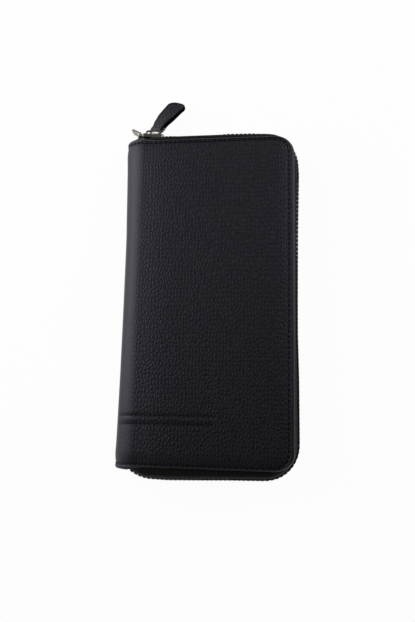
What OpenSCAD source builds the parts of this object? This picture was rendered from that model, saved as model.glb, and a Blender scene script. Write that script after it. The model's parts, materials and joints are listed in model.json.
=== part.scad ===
// Long wallet with a zip round three sides. Two padded leather covers meet in a round spine.
// Inside are stepped card layers, a zipped coin leaf and pleated end gussets.
// X runs from the spine to the free edge, Y along the spine, Z from the back cover to the front.

/* [Covers] */
// Width from the spine's outer face to the free edge
cover_w = 102.2; // [98:0.2:110]
// Length along the spine
cover_l = 197.4; // [188:0.2:206]
// Thickness of the closed wallet
wallet_t = 24; // [24:0.5:27]
// Radius of the two free corners
corner_r = 15; // [13:1:17]
// Thickness of the leather at the sewn border
leather_t = 1.5; // [1.2:0.1:1.5]
// Height of the padded field above the border
pad_rise = 0.6; // [0.3:0.1:0.6]
// Width of the sewn border
border_w = 5; // [4:0.5:6]

/* [Main zip] */
// Reach of the teeth past the short ends
zip_out_end = 3.2; // [3.2:0.1:5]
// Reach of the teeth past the free edge
zip_out_side = 1.2; // [1.2:0.1:2]
// Radius of the zip's two corners
zip_r = 19; // [18:1:21]
// Spacing of the teeth in one row
tooth_pitch = 2.6; // [2.6:0.1:3]
// Thickness of the woven tape
tape_t = 0.6; // [0.4:0.1:0.6]
// Place of the closed slider along the upper end
slider_x = -35.8; // [-35.8:0.1:-20]

/* [Pull] */
// Turn of the pull in the plan, from the free edge's direction
pull_turn = 58.2; // [50:0.1:66]
// Droop of the pull below the level
pull_droop = 12.7; // [5:0.1:20]
// Roll of the pull about its own length
pull_roll = -28; // [-34:0.1:-28]
// Length of the leather tab past the ring
tab_len = 21.8; // [14:0.2:22]
// Width of the leather tab past the ring
tab_w = 11.2; // [9.2:0.2:11.2]
// Thickness of the folded tab
tab_t = 3.4; // [2.2:0.2:3.4]
// Untwisting of the tab from the ring to its tip
tab_twist = 22; // [10:1:24]

/* [Inside] */
// Step from one card layer to the next
card_step = 12; // [9:0.5:13]
// Depth of the gusset pleats
pleat = 15; // [12:1:16]
// Reach of the gussets from the spine fold
gusset_reach = 50; // [36:1:50]
// Place of the coin zip across the leaf
coin_x = 20; // [10:1:22]

/* [Hidden] */
$fn = 64;
gap = 0.15;
mid_z = wallet_t / 2;
end_y = cover_l / 2;
edge_x = cover_w / 2;
fold_x = mid_z - edge_x;

shell_t = pad_rise + leather_t;
board_t = 0.8;
lining_t = 0.4;
board_z = shell_t;
lining_z = board_z + board_t;
inside_z = lining_z + lining_t;
board_inset = 9;
lining_inset = 2;

card_t = 0.42;
card_rise = 0.5;
card_z = inside_z + 0.05;
card_half_l = end_y - 12;
card_from_x = fold_x + 4;
card_to_x = edge_x - 12;

leaf_half_t = 1.9;
leaf_wall = 0.8;
leaf_half_l = end_y - 15;
leaf_from_x = fold_x - 5;
leaf_to_x = edge_x - 16;
binding_w = 3;

zip_y = end_y + zip_out_end;
zip_x = edge_x + zip_out_side;
zip_cx = zip_x - zip_r;
zip_cy = zip_y - zip_r;
zip_from_x = -edge_x + 8;
zip_turn_x = -edge_x + 21;
zip_end_r = 22;
zip_end_turn = 42;
zip_sewn_turn = 25;
tape_edge = 1.9;
tape_bulge = 3.2;
tape_flange = 10;
tape_top = mid_z - shell_t - tape_t / 2;
tooth_t = 3;

run_top = zip_cx - zip_from_x;
run_corner = zip_r * PI / 2;
run_side = 2 * zip_cy;
run_bottom = zip_cx - zip_turn_x;
run_end = zip_end_r * zip_end_turn * PI / 180;
stops = [
    run_top,
    run_top + run_corner,
    run_top + run_corner + run_side,
    run_top + 2 * run_corner + run_side,
    run_top + 2 * run_corner + run_side + run_bottom,
    run_top + 2 * run_corner + run_side + run_bottom + run_end
];

// Slider sizes: length, tail and nose half-widths, channel half-height, plate, wall, slot, wedge half-width
main_slider = [13.4, 4.2, 6, 1.8, 1.2, 0.9, 0.8, 1.1];
coin_slider_size = [9, 2.8, 4.3, 1.15, 0.7, 0.6, 0.4, 0.75];
// How the two rows part under a slider: where the parting starts, its length, its amount
main_parting = [2, 7, 2.2];
coin_parting = [1.4, 4.8, 1.5];

slider_top = main_slider[3] + main_slider[4];
bail_h = 4.6;
bail_half_l = 4.8;
bail_w = 1.2;
bail_bar = 1.1;
bail_r = 2.2;
bail_shift = -1;
ring_wire = 0.6;
ring_len = 5.5;
ring_near = 3.3;
ring_far = 5.3;
ring_flare = 3.6;
tab_eye = 1.8;
tab_eye_w = 9;
tab_tip_r = 2.6;
tab_edge = 0.6;
pull_at = [slider_x - 0.2, zip_y + slider_top + 2.05, mid_z];

coin_pitch = 2;
coin_half_l = leaf_half_l - 11;
coin_z = mid_z + leaf_half_t - 1;
coin_window = 4.6;
coin_slider_y = coin_half_l - 8;
coin_tooth_t = 1.8;
coin_top = coin_slider_size[3] + coin_slider_size[4];

leather = [0.15, 0.145, 0.16];
fabric = [0.11, 0.11, 0.12];
board = [0.45, 0.42, 0.38];
tooth_black = [0.1, 0.1, 0.1];
nickel = [0.55, 0.53, 0.5];

// Place and heading of a point on the zip line, counted from the slider's end
function on_arc(x, y, r, a) = [x + r * cos(a), y + r * sin(a), a - 90];
function degrees(s, r) = s / r * 180 / PI;
function zip_at(s) =
    s < stops[0] ? [zip_from_x + s, zip_y, 0] :
    s < stops[1] ? on_arc(zip_cx, zip_cy, zip_r, 90 - degrees(s - stops[0], zip_r)) :
    s < stops[2] ? [zip_x, zip_cy - (s - stops[1]), -90] :
    s < stops[3] ? on_arc(zip_cx, -zip_cy, zip_r, -degrees(s - stops[2], zip_r)) :
    s < stops[4] ? [zip_cx - (s - stops[3]), -zip_y, -180] :
    on_arc(zip_turn_x, zip_end_r - zip_y, zip_end_r, -90 - degrees(s - stops[4], zip_end_r));

function parting(along, p) = p[2] * max(0, min(1, (p[0] - along) / p[1]));

function lerp(from, to, share) = from + (to - from) * share;

// Points round one slice across the leather tab, its corners cut
function tab_slice(along, half_w) =
    let (
        share = along / tab_len,
        half_t = lerp(0.95 * tab_eye, tab_t / 2, min(1, 4 * share)),
        right = [[half_w, half_t - tab_edge], [half_w - tab_edge, half_t]],
        left = [[tab_edge - half_w, half_t], [-half_w, half_t - tab_edge]],
        upper = concat(right, left),
        turn = tab_twist * share
    )
    [for (p = concat(upper, -upper))
        [along, p.x * cos(turn) - p.y * sin(turn), p.x * sin(turn) + p.y * cos(turn)]];

module on_front() {
    translate([0, 0, wallet_t]) mirror([0, 0, 1]) children();
}

// Flat outline with the two free corners rounded
module rounded_sheet(x0, x1, half_y, r) {
    translate([x0, -half_y]) square([x1 - r - x0, 2 * half_y]);
    translate([x0, r - half_y]) square([x1 - x0, 2 * (half_y - r)]);
    for (side = [-1, 1])
        translate([x1 - r, side * (half_y - r)]) circle(r = r);
}

module cover_outline(inset, from_x = fold_x) {
    rounded_sheet(from_x, edge_x - inset, end_y - inset, corner_r - inset);
}

module cover_panel() {
    translate([0, 0, pad_rise]) linear_extrude(leather_t) cover_outline(0);
    linear_extrude(shell_t) cover_outline(border_w);
}

module board_sheet() {
    translate([0, 0, board_z]) linear_extrude(board_t) cover_outline(board_inset);
}

module lining_sheet() {
    translate([0, 0, lining_z]) linear_extrude(lining_t) cover_outline(lining_inset);
}

// Half tube along the spine, given by its outer face's depth and its thickness
module spine_sheet(depth, thick) {
    r = mid_z - depth;
    translate([fold_x, end_y, mid_z]) rotate([90, 0, 0]) linear_extrude(cover_l) difference() {
        circle(r = r);
        circle(r = r - thick);
        translate([0, -r - 1]) square([r + 1, 2 * r + 2]);
    }
}

module card_layer(i) {
    translate([0, 0, card_z + (i - 1) * card_rise]) linear_extrude(card_t)
        rounded_sheet(card_from_x, card_to_x - (i - 1) * card_step, card_half_l, 4);
}

// Pleated sheet that closes a short end between the two linings, with a sewn flange at each side
module gusset() {
    t = 0.6;
    out_y = end_y - 3;
    in_y = out_y - pleat;
    low = inside_z + t / 2;
    fold = (low + mid_z) / 2 + 0.4;
    half = t / 2 * norm([pleat, fold - low]) / (fold - low);
    line = [[out_y, low], [in_y, fold], [out_y, mid_z], [in_y, wallet_t - fold], [out_y, wallet_t - low]];
    near = [for (p = line) p - [half, 0]];
    far = [for (i = [len(line) - 1:-1:0]) line[i] + [half, 0]];
    translate([fold_x, 0, 0]) {
        rotate([90, 0, 90]) linear_extrude(gusset_reach) polygon(concat(far, near));
        for (z = [inside_z, wallet_t - inside_z - t])
            translate([0, out_y - 5, z]) cube([gusset_reach, 5 + half, t]);
    }
}

module leaf_outline() {
    rounded_sheet(leaf_from_x, leaf_to_x, leaf_half_l, 6);
}

// Strip between the teeth and the bulge of a tape: the part that stays free of the cover
module tape_strip() {
    translate([-tape_t / 2, tape_edge]) square([tape_t, tape_top - tape_bulge - tape_edge]);
}

module tape_curve() {
    translate([-tape_bulge, tape_top - tape_bulge]) intersection() {
        difference() {
            circle(r = tape_bulge + tape_t / 2);
            circle(r = tape_bulge - tape_t / 2);
        }
        square(tape_bulge + tape_t);
    }
}

module tape_section() {
    tape_strip();
    tape_curve();
    translate([-tape_flange, tape_top - tape_t / 2]) square([tape_flange - tape_bulge, tape_t]);
}

module tape_free_section() {
    tape_strip();
    tape_curve();
}

// Front half of the tape: upper run, corner, side run, corner, lower run and its turn into the spine
module zip_tape(free_end) {
    sewn_x = fold_x + 0.5;
    translate([0, 0, mid_z]) {
        translate([sewn_x, zip_y, 0]) rotate([90, 0, 90]) linear_extrude(zip_cx - sewn_x) tape_section();
        translate([free_end, zip_y, 0]) rotate([90, 0, 90]) linear_extrude(sewn_x - free_end)
            tape_free_section();
        translate([zip_x, zip_cy, 0]) rotate([90, 0, 0]) linear_extrude(run_side) tape_section();
        translate([zip_turn_x, -zip_y, 0]) mirror([0, 1, 0]) rotate([90, 0, 90])
            linear_extrude(run_bottom) tape_section();
        translate([zip_cx, zip_cy, 0]) rotate_extrude(angle = 90) translate([zip_r, 0]) tape_section();
        translate([zip_cx, -zip_cy, 0]) rotate([0, 0, -90]) rotate_extrude(angle = 90)
            translate([zip_r, 0]) tape_section();
        translate([zip_turn_x, zip_end_r - zip_y, 0]) mirror([1, 0, 0]) rotate([0, 0, -90]) {
            rotate_extrude(angle = zip_sewn_turn) translate([zip_end_r, 0]) tape_section();
            rotate_extrude(angle = zip_end_turn) translate([zip_end_r, 0]) tape_strip();
        }
    }
}

// One tooth: a waisted head that locks with the other row and a root clamped on the tape
module zip_tooth() {
    half = [[0.3, -0.8], [0.55, -0.2], [0.4, 0.9], [0.85, 1.4], [0.85, 2.6]];
    other = [for (i = [len(half) - 1:-1:0]) [-half[i].x, half[i].y]];
    rotate([90, 0, 0]) linear_extrude(tooth_t, center = true) polygon(concat(half, other));
}

module zip_row(start, up) {
    count = floor((stops[5] - start - 2) / tooth_pitch);
    for (i = [0:count]) {
        s = start + i * tooth_pitch;
        at = zip_at(s);
        lift = parting(s - (slider_x - zip_from_x), main_parting);
        translate([at.x, at.y, mid_z + up * lift]) rotate([0, 0, at.z])
            mirror([0, 0, up > 0 ? 0 : 1]) zip_tooth();
    }
}

// Plan of a slider plate: wide nose, narrow tail
module slider_plan(p, inset, extra) {
    half = [
        [-p[0] / 2 - extra, extra > 0 ? p[2] - inset : 0.75 * p[2]],
        [-0.4 * p[0], p[2] - inset],
        [0.15 * p[0], p[1] - inset],
        [p[0] / 2 - 1 + extra, p[1] - inset],
        [p[0] / 2 + extra, p[1] - inset - (extra > 0 ? 0 : 1)]
    ];
    other = [for (i = [len(half) - 1:-1:0]) [half[i].x, -half[i].y]];
    polygon(concat(half, other));
}

// Two plates with side walls, a slot for the tapes and the wedge that parts the rows
module zip_slider(p) {
    h = p[3] + p[4];
    difference() {
        translate([0, 0, -h]) linear_extrude(2 * h) slider_plan(p, 0, 0);
        translate([0, 0, -p[3]]) linear_extrude(2 * p[3]) slider_plan(p, p[5], 1);
        cube([2 * p[0], 4 * p[2], 2 * p[6]], center = true);
    }
    translate([0, 0, -p[3] - 0.1]) linear_extrude(2 * p[3] + 0.2) polygon([
        [-0.1 * p[0], 0], [-0.37 * p[0], p[7]], [-p[0] / 2, 0.8 * p[7]],
        [-p[0] / 2, -0.8 * p[7]], [-0.37 * p[0], -p[7]]
    ]);
}

// Flat arch with rounded shoulders
module arch(half_l, h, bar, r) {
    difference() {
        arch_outline(half_l, h, r);
        translate([0, -1]) arch_outline(half_l - bar, h - bar + 1, r - bar);
    }
}

module arch_outline(half_l, h, r) {
    translate([-half_l, 0]) square([2 * half_l, h - r]);
    translate([r - half_l, 0]) square([2 * (half_l - r), h]);
    for (side = [-1, 1])
        translate([side * (half_l - r), h - r]) circle(r = r);
}

module on_main_slider() {
    translate([slider_x, zip_y, mid_z]) rotate([-90, 0, 0]) children();
}

module on_coin_slider() {
    translate([coin_x, coin_slider_y, coin_z]) rotate([0, 0, -90]) children();
}

module pull_frame() {
    translate(pull_at) rotate([pull_roll, pull_droop, pull_turn]) children();
}

// Closed solid through slices that have the same number of points
module loft(slices) {
    n = len(slices[0]);
    last = len(slices) - 1;
    sides = [for (k = [0:last - 1]) for (j = [0:n - 1])
        let (a = k * n + j, b = k * n + (j + 1) % n) each [[a, b + n, b], [a, a + n, b + n]]];
    caps = [[for (j = [0:n - 1]) j], [for (j = [n - 1:-1:0]) last * n + j]];
    polyhedron(points = [for (slice = slices) each slice], faces = concat(sides, caps));
}

module rod(p, q, r) {
    d = q - p;
    translate(p) rotate([0, acos(d.z / norm(d)), atan2(d.y, d.x)]) cylinder(r = r, h = norm(d));
}

module coin_row(start, side) {
    count = floor((2 * coin_half_l - start) / coin_pitch);
    for (i = [0:count]) {
        y = start - coin_half_l + i * coin_pitch;
        lift = parting(coin_slider_y - y, coin_parting);
        translate([coin_x + side * lift, y, coin_z]) coin_tooth(side);
    }
}

module coin_tooth(side) {
    half = [[-0.6, 0.35], [0.7, 0.35], [1, 0.65], [2, 0.65]];
    other = [for (i = [len(half) - 1:-1:0]) [half[i].x, -half[i].y]];
    mirror([side > 0 ? 0 : 1, 0, 0]) linear_extrude(coin_tooth_t, center = true)
        polygon(concat(half, other));
}

module coin_tape(side) {
    t = 0.4;
    from_x = side > 0 ? coin_x + 1.4 : coin_x - 9;
    translate([from_x, -coin_half_l - 4, coin_z - t / 2]) cube([7.6, 2 * coin_half_l + 8, t]);
}

module front_cover() {
    color(leather) on_front() cover_panel();
}

module back_cover() {
    color(leather) cover_panel();
}

module spine_leather() {
    color(leather) spine_sheet(0, shell_t);
}

module spine_stiffener() {
    color(board) spine_sheet(board_z, board_t);
}

module spine_lining() {
    color(fabric) spine_sheet(lining_z, lining_t);
}

module front_board() {
    color(board) on_front() board_sheet();
}

module back_board() {
    color(board) board_sheet();
}

module front_lining() {
    color(fabric) on_front() lining_sheet();
}

module back_lining() {
    color(fabric) lining_sheet();
}

module front_card(i) {
    color(leather) on_front() card_layer(i);
}

module back_card(i) {
    color(leather) card_layer(i);
}

module top_gusset() {
    color(fabric) gusset();
}

module bottom_gusset() {
    color(fabric) mirror([0, 1, 0]) gusset();
}

module leaf_front_wall() {
    color(leather) translate([0, 0, mid_z + leaf_half_t - leaf_wall]) linear_extrude(leaf_wall)
        difference() {
            leaf_outline();
            translate([coin_x - coin_window, -coin_half_l - 2])
                square([2 * coin_window, 2 * coin_half_l + 4]);
        }
}

module leaf_back_wall() {
    color(leather) translate([0, 0, mid_z - leaf_half_t]) linear_extrude(leaf_wall) leaf_outline();
}

module leaf_binding() {
    h = 2 * (leaf_half_t - leaf_wall);
    color(leather) translate([0, 0, mid_z - h / 2]) linear_extrude(h) difference() {
        leaf_outline();
        rounded_sheet(leaf_from_x + binding_w, leaf_to_x - binding_w, leaf_half_l - binding_w, 3);
    }
}

module leaf_strip() {
    from_x = fold_x - mid_z + inside_z + 0.01;
    color(fabric) translate([from_x, -leaf_half_l, mid_z - 0.3])
        cube([leaf_from_x - from_x, 2 * leaf_half_l, 0.6]);
}

module coin_tape_inner() {
    color(fabric) coin_tape(-1);
}

module coin_tape_outer() {
    color(fabric) coin_tape(1);
}

module coin_teeth_inner() {
    color(nickel) coin_row(0, -1);
}

module coin_teeth_outer() {
    color(nickel) coin_row(coin_pitch / 2, 1);
}

module coin_slider() {
    color(nickel) on_coin_slider() {
        zip_slider(coin_slider_size);
        translate([0, 0, coin_top]) rotate([90, 0, 0]) linear_extrude(1.4, center = true)
            arch(2.9, 2.3, 0.7, 1.3);
    }
}

module coin_pull() {
    bar = 0.4;
    reach = 11;
    color(nickel) on_coin_slider() translate([0, 0, coin_top + 0.7]) {
        rotate([90, 0, 0]) cylinder(r = bar, h = 4.4, center = true);
        for (side = [-1, 1])
            rod([0, 2.2 * side, 0], [4, 1.6 * side, 0], bar);
        for (side = [-1, 1])
            translate([0, 2.2 * side, 0]) sphere(r = bar + 0.02);
        translate([3.6, 0, -bar]) linear_extrude(2 * bar) difference() {
            pull_plate(reach - 3.6, 2.2);
            translate([reach - 6, 0]) circle(r = 1);
        }
    }
}

module pull_plate(l, half_w) {
    translate([0, -half_w]) square([l - half_w, 2 * half_w]);
    translate([l - half_w, 0]) circle(r = half_w);
}

module front_zip_tape() {
    color(fabric) zip_tape(zip_from_x - 0.4);
}

module back_zip_tape() {
    color(fabric) on_front() zip_tape(zip_from_x - 2.2);
}

module front_zip_teeth() {
    color(tooth_black) zip_row(0, 1);
}

module back_zip_teeth() {
    color(tooth_black) zip_row(tooth_pitch / 2, -1);
}

// Folded metal clip over the tape end beside the slider, with a tongue that stands outwards
module zip_end_clip() {
    half_t = 0.8;
    wide = 6;
    line = [[-0.6, 0], [0.5, 4.4], [-4.2, 6.7]];
    color(nickel) translate([zip_from_x - 1.6, zip_y, mid_z - wide / 2]) linear_extrude(wide)
        for (i = [0:1])
            hull() for (p = [line[i], line[i + 1]])
                translate(p) circle(r = half_t);
}

// Metal stop clamped on the back tape at the other end of the zip
module zip_end_stop() {
    at = zip_at(stops[5] - 0.1);
    color(nickel) translate([at.x, at.y, mid_z - 3]) rotate([0, 0, at.z]) translate([-0.4, -1.3, 0])
        cube([2.6, 2.6, 4.7]);
}

module slider_body() {
    color(nickel) on_main_slider() zip_slider(main_slider);
}

module slider_bail() {
    color(nickel) on_main_slider() translate([bail_shift, 0, slider_top]) rotate([90, 0, 0])
        linear_extrude(bail_w, center = true) arch(bail_half_l, bail_h, bail_bar, bail_r);
}

// Wire ring, narrow in the bail and wide at the leather
module pull_ring() {
    half = [[0, ring_near, 0], [ring_flare, ring_far, 0], [ring_len, ring_far, 0]];
    other = [for (i = [2:-1:0]) [half[i].x, -half[i].y, 0]];
    corners = concat(half, other);
    color(nickel) pull_frame() for (i = [0:5]) {
        rod(corners[i], corners[(i + 1) % 6], ring_wire);
        translate(corners[i]) sphere(r = ring_wire + 0.02);
    }
}

// Leather strap folded round the ring's wide bar and sewn to itself, wider and less rolled towards its tip
module pull_tab() {
    body_l = tab_len - tab_tip_r;
    body = [for (t = [0:0.125:1]) [body_l * t, lerp(tab_eye_w, tab_w, min(1, 2 * t)) / 2]];
    tip = [for (a = [15:15:75]) [body_l + tab_tip_r * sin(a), tab_w / 2 - tab_tip_r * (1 - cos(a))]];
    color(leather) pull_frame() translate([ring_len, 0, 0]) difference() {
        union() {
            rotate([90, 0, 0]) cylinder(r = tab_eye, h = tab_eye_w, center = true);
            loft([for (station = concat(body, tip)) tab_slice(station.x, station.y)]);
        }
        rotate([90, 0, 0]) cylinder(r = ring_wire + gap, h = tab_w + 1, center = true);
    }
}

front_cover();
back_cover();
spine_leather();
spine_stiffener();
spine_lining();
front_board();
back_board();
front_lining();
back_lining();
front_card(1);  // front_card_1
front_card(2);  // front_card_2
front_card(3);  // front_card_3
front_card(4);  // front_card_4
back_card(1);  // back_card_1
back_card(2);  // back_card_2
back_card(3);  // back_card_3
back_card(4);  // back_card_4
top_gusset();
bottom_gusset();
leaf_front_wall();
leaf_back_wall();
leaf_binding();
leaf_strip();
coin_tape_inner();
coin_tape_outer();
coin_teeth_inner();
coin_teeth_outer();
coin_slider();
coin_pull();
front_zip_tape();
back_zip_tape();
front_zip_teeth();
back_zip_teeth();
zip_end_clip();
zip_end_stop();
slider_body();
slider_bail();
pull_ring();
pull_tab();
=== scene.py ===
import json
import math

import bmesh
import bpy
from mathutils import Matrix, Vector, noise


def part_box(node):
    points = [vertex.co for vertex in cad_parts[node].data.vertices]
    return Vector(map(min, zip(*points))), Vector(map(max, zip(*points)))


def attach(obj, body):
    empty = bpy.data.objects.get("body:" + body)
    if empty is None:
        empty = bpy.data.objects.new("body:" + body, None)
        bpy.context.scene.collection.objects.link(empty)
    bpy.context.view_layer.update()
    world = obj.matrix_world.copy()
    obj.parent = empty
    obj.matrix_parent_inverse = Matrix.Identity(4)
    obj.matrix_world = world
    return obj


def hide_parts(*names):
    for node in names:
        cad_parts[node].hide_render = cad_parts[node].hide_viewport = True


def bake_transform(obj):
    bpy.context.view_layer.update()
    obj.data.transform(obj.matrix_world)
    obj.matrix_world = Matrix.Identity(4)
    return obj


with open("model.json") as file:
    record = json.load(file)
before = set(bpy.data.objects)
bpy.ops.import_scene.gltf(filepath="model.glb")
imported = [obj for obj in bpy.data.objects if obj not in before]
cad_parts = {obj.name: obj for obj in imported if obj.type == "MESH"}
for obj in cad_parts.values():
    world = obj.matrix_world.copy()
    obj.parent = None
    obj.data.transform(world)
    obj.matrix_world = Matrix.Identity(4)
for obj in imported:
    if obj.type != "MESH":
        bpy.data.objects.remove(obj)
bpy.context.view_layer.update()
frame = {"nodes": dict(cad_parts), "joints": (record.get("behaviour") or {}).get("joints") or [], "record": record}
nodes = frame["nodes"]
joints = {joint["name"]: joint for joint in frame["joints"]}
record = frame["record"]
bodyOf = {node: body for body, held in record["behaviour"]["bodies"].items() for node in held}
mm = 0.001


def boxOf(node):
    low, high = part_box(node)
    return low / mm, high / mm


# Lengths are millimetres in the wallet's frame until a piece is finished
coverLow, coverHigh = boxOf("front_cover")
foldX, edgeX, endY, topZ = coverLow.x, coverHigh.x, coverHigh.y, coverHigh.z
midZ = topZ / 2
print("frame loaded,", len(nodes), "solids")


def hexColour(text):
    parts = [int(text[i:i + 2], 16) / 255 for i in (1, 3, 5)]
    return [c / 12.92 if c <= 0.04045 else ((c + 0.055) / 1.055) ** 2.4 for c in parts] + [1.0]


def plugIn(tree, node, links):
    for key, source in links.items():
        tree.links.new(source, node.inputs[key])


def addNode(tree, kind, settings, links=None):
    node = tree.nodes.new(kind)
    for key, value in settings.items():
        if isinstance(key, str) and hasattr(node, key):
            setattr(node, key, value)
        else:
            node.inputs[key].default_value = value
    plugIn(tree, node, links or {})
    return node


def newMaterial(name, settings):
    material = bpy.data.materials.new(name)
    material.use_nodes = True
    shader = material.node_tree.nodes["Principled BSDF"]
    for key, value in settings.items():
        shader.inputs[key].default_value = value
    return material, material.node_tree, shader


# Chrome-tanned cowhide with an embossed pebble grain: satin tops, duller creases; the creases' darker colour and
# lower shine are painted shade
pebbledLook = {
    "top": "#0d0c12",
    "creaseShade": "#07070a",
    "tint": "#ebe9ff",
    "pebble": 1.95,  # grain width, mm, as are wander, shift, depth and pore
    "stretch": 1.35,
    "spread": 0.8,
    "wander": 4.0,
    "shift": 0.9,
    "depth": 0.145,
    "pore": 0.4,
    "smoothTop": 0.44,
    "dullCrease": 0.6,
    "topShine": 0.4,
    "creaseShine": 0.34,
}

# Split leather with a fine plated grain, used inside: flat and matt; its creases also take a darker colour as
# painted shade
plainLook = {
    "top": "#434245",
    "creaseShade": "#2e2d30",
    "tint": "#f4f3ff",
    "pebble": 0.55,
    "stretch": 1.1,
    "spread": 1.0,
    "wander": 3.0,
    "shift": 0.5,
    "depth": 0.03,
    "pore": 0.15,
    "smoothTop": 0.52,
    "dullCrease": 0.64,
    "topShine": 0.5,
    "creaseShine": 0.35,
}

# The finish coat on both: rounded pebbles, fine pores, grain that flattens at rims, and painted shade that dulls
# stitch grooves and cut edges
finishCoat = {"ior": 1.48, "rounding": 0.34, "poreShare": 0.25, "rimFlat": 0.8, "paintedShadeDrop": 0.4}


def leatherMaterial(name, look):
    coat = {"IOR": finishCoat["ior"], "Specular Tint": hexColour(look["tint"])}
    material, tree, shader = newMaterial(name, coat)
    flat = addNode(tree, "ShaderNodeUVMap", {"uv_map": "flat"})
    wander = addNode(
        tree, "ShaderNodeTexNoise",
        {"noise_dimensions": "2D", "Scale": 1 / (look["wander"] * mm), "Detail": 2.0},
        {"Vector": flat.outputs["UV"]},
    )
    span = look["shift"] * mm
    shift = addNode(
        tree, "ShaderNodeVectorMath",
        {"operation": "MULTIPLY_ADD", 1: (span, span, 0), 2: (-span / 2, -span / 2, 0)},
        {0: wander.outputs["Color"]},
    )
    moved = addNode(
        tree, "ShaderNodeVectorMath", {"operation": "ADD"},
        {0: flat.outputs["UV"], 1: shift.outputs["Vector"]},
    )
    hide = addNode(
        tree, "ShaderNodeMapping", {"Scale": (1, 1 / look["stretch"], 1)},
        {"Vector": moved.outputs["Vector"]},
    )
    cells = addNode(
        tree, "ShaderNodeTexVoronoi",
        {
            "voronoi_dimensions": "2D", "feature": "DISTANCE_TO_EDGE",
            "Scale": 1 / (look["pebble"] * mm), "Randomness": look["spread"],
        },
        {"Vector": hide.outputs["Vector"]},
    )
    # The rim attribute rises to 1 on rolled edges and the spine, where the grain is pulled smooth and its painted
    # crease shade fades
    rim = addNode(tree, "ShaderNodeAttribute", {"attribute_name": "rim"})
    shallow = addNode(
        tree, "ShaderNodeMath", {"operation": "MULTIPLY", 1: finishCoat["rimFlat"]}, {0: rim.outputs["Fac"]}
    )
    pebbles = addNode(
        tree, "ShaderNodeMapRange",
        {"interpolation_type": "SMOOTHSTEP", "From Max": finishCoat["rounding"]},
        {"Value": cells.outputs["Distance"], "To Min": shallow.outputs[0]},
    )
    pores = addNode(
        tree, "ShaderNodeTexNoise",
        {"noise_dimensions": "2D", "Scale": 1 / (look["pore"] * mm), "Detail": 2.0},
        {"Vector": flat.outputs["UV"]},
    )
    grain = addNode(
        tree, "ShaderNodeMath", {"operation": "MULTIPLY_ADD", 1: finishCoat["poreShare"]},
        {0: pores.outputs["Fac"], 2: pebbles.outputs["Result"]},
    )
    bump = addNode(
        tree, "ShaderNodeBump", {"Strength": 1.0, "Distance": look["depth"] * mm},
        {"Height": grain.outputs[0]},
    )
    # Painted shade: the grain's creases take the darker crease colour
    colour = addNode(
        tree, "ShaderNodeMix",
        {"data_type": "RGBA", 6: hexColour(look["creaseShade"]), 7: hexColour(look["top"])},
        {0: pebbles.outputs["Result"]},
    )
    rough = addNode(
        tree, "ShaderNodeMapRange", {"To Min": look["dullCrease"], "To Max": look["smoothTop"]},
        {"Value": pebbles.outputs["Result"]},
    )
    # Painted shade: the creases also shine less than the tops
    shine = addNode(
        tree, "ShaderNodeMapRange", {"To Min": look["creaseShine"], "To Max": look["topShine"]},
        {"Value": pebbles.outputs["Result"]},
    )
    # This attribute is 1 in stitch grooves and on the pull tab's cut edges: painted shade that makes them shine
    # less
    paintedShade = addNode(tree, "ShaderNodeAttribute", {"attribute_name": "paintedShade"})
    dull = addNode(
        tree, "ShaderNodeMath", {"operation": "MULTIPLY_ADD", 1: -finishCoat["paintedShadeDrop"]},
        {0: paintedShade.outputs["Fac"], 2: shine.outputs["Result"]},
    )
    kept = addNode(tree, "ShaderNodeMath", {"operation": "MAXIMUM", 1: 0.0}, {0: dull.outputs[0]})
    plugIn(tree, shader, {
        "Base Color": colour.outputs[2], "Roughness": rough.outputs["Result"],
        "Specular IOR Level": kept.outputs[0], "Normal": bump.outputs["Normal"],
    })
    return material


# Filament polyester in a twill: slanting ribs, drawn coarse enough to show, dull with a faint sheen
liningLook = {"thread": "#68686d", "gap": "#444448", "rib": 0.7, "pick": 0.45, "depth": 0.05, "rough": 0.72}
# Polyester zip tape, a tight herringbone drawn as slanted ribs, duller than the leather
tapeLook = {"thread": "#141413", "gap": "#090909", "rib": 0.8, "pick": 0.5, "depth": 0.08, "rough": 0.7}
# Both weaves. A wave of scale 1 repeats every 0.314 across upright bands, and every 0.628 along x where
# they slant
weave = {"shine": 0.1, "waver": 0.4, "pickShare": 0.4, "upright": 0.314, "slanted": 0.628}


def wovenMaterial(name, look):
    dullYarn = {"Roughness": look["rough"], "Specular IOR Level": weave["shine"]}
    material, tree, shader = newMaterial(name, dullYarn)
    flat = addNode(tree, "ShaderNodeUVMap", {"uv_map": "flat"})
    ribs = addNode(
        tree, "ShaderNodeTexWave",
        {
            "bands_direction": "DIAGONAL", "Scale": weave["slanted"] / (look["rib"] * mm),
            "Distortion": weave["waver"], "Detail": 1.0,
        },
        {"Vector": flat.outputs["UV"]},
    )
    picks = addNode(
        tree, "ShaderNodeTexWave",
        {"bands_direction": "X", "Scale": weave["upright"] / (look["pick"] * mm)},
        {"Vector": flat.outputs["UV"]},
    )
    threads = addNode(
        tree, "ShaderNodeMath", {"operation": "MULTIPLY_ADD", 1: weave["pickShare"]},
        {0: picks.outputs["Fac"], 2: ribs.outputs["Fac"]},
    )
    bump = addNode(
        tree, "ShaderNodeBump", {"Strength": 1.0, "Distance": look["depth"] * mm},
        {"Height": threads.outputs[0]},
    )
    colour = addNode(
        tree, "ShaderNodeMix",
        {"data_type": "RGBA", 6: hexColour(look["gap"]), 7: hexColour(look["thread"])},
        {0: ribs.outputs["Fac"]},
    )
    plugIn(tree, shader, {"Base Color": colour.outputs[2], "Normal": bump.outputs["Normal"]})
    return material


# Zinc casting with tumbled antique nickel: soft highlights, brown in the recesses
nickelLook = {
    "bright": "#9b968e", "dark": "#5c544b", "cloud": 2.4, "grit": 0.18, "depth": 0.012,
    "metal": 1.0, "smooth": 0.24, "dull": 0.4,
}
# Stamped teeth under black lacquer: satin with slightly paler worn spots
toothLook = {
    "bright": "#242322", "dark": "#131312", "cloud": 1.6, "grit": 0.15, "depth": 0.01,
    "metal": 0.3, "smooth": 0.3, "dull": 0.45,
}
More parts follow.
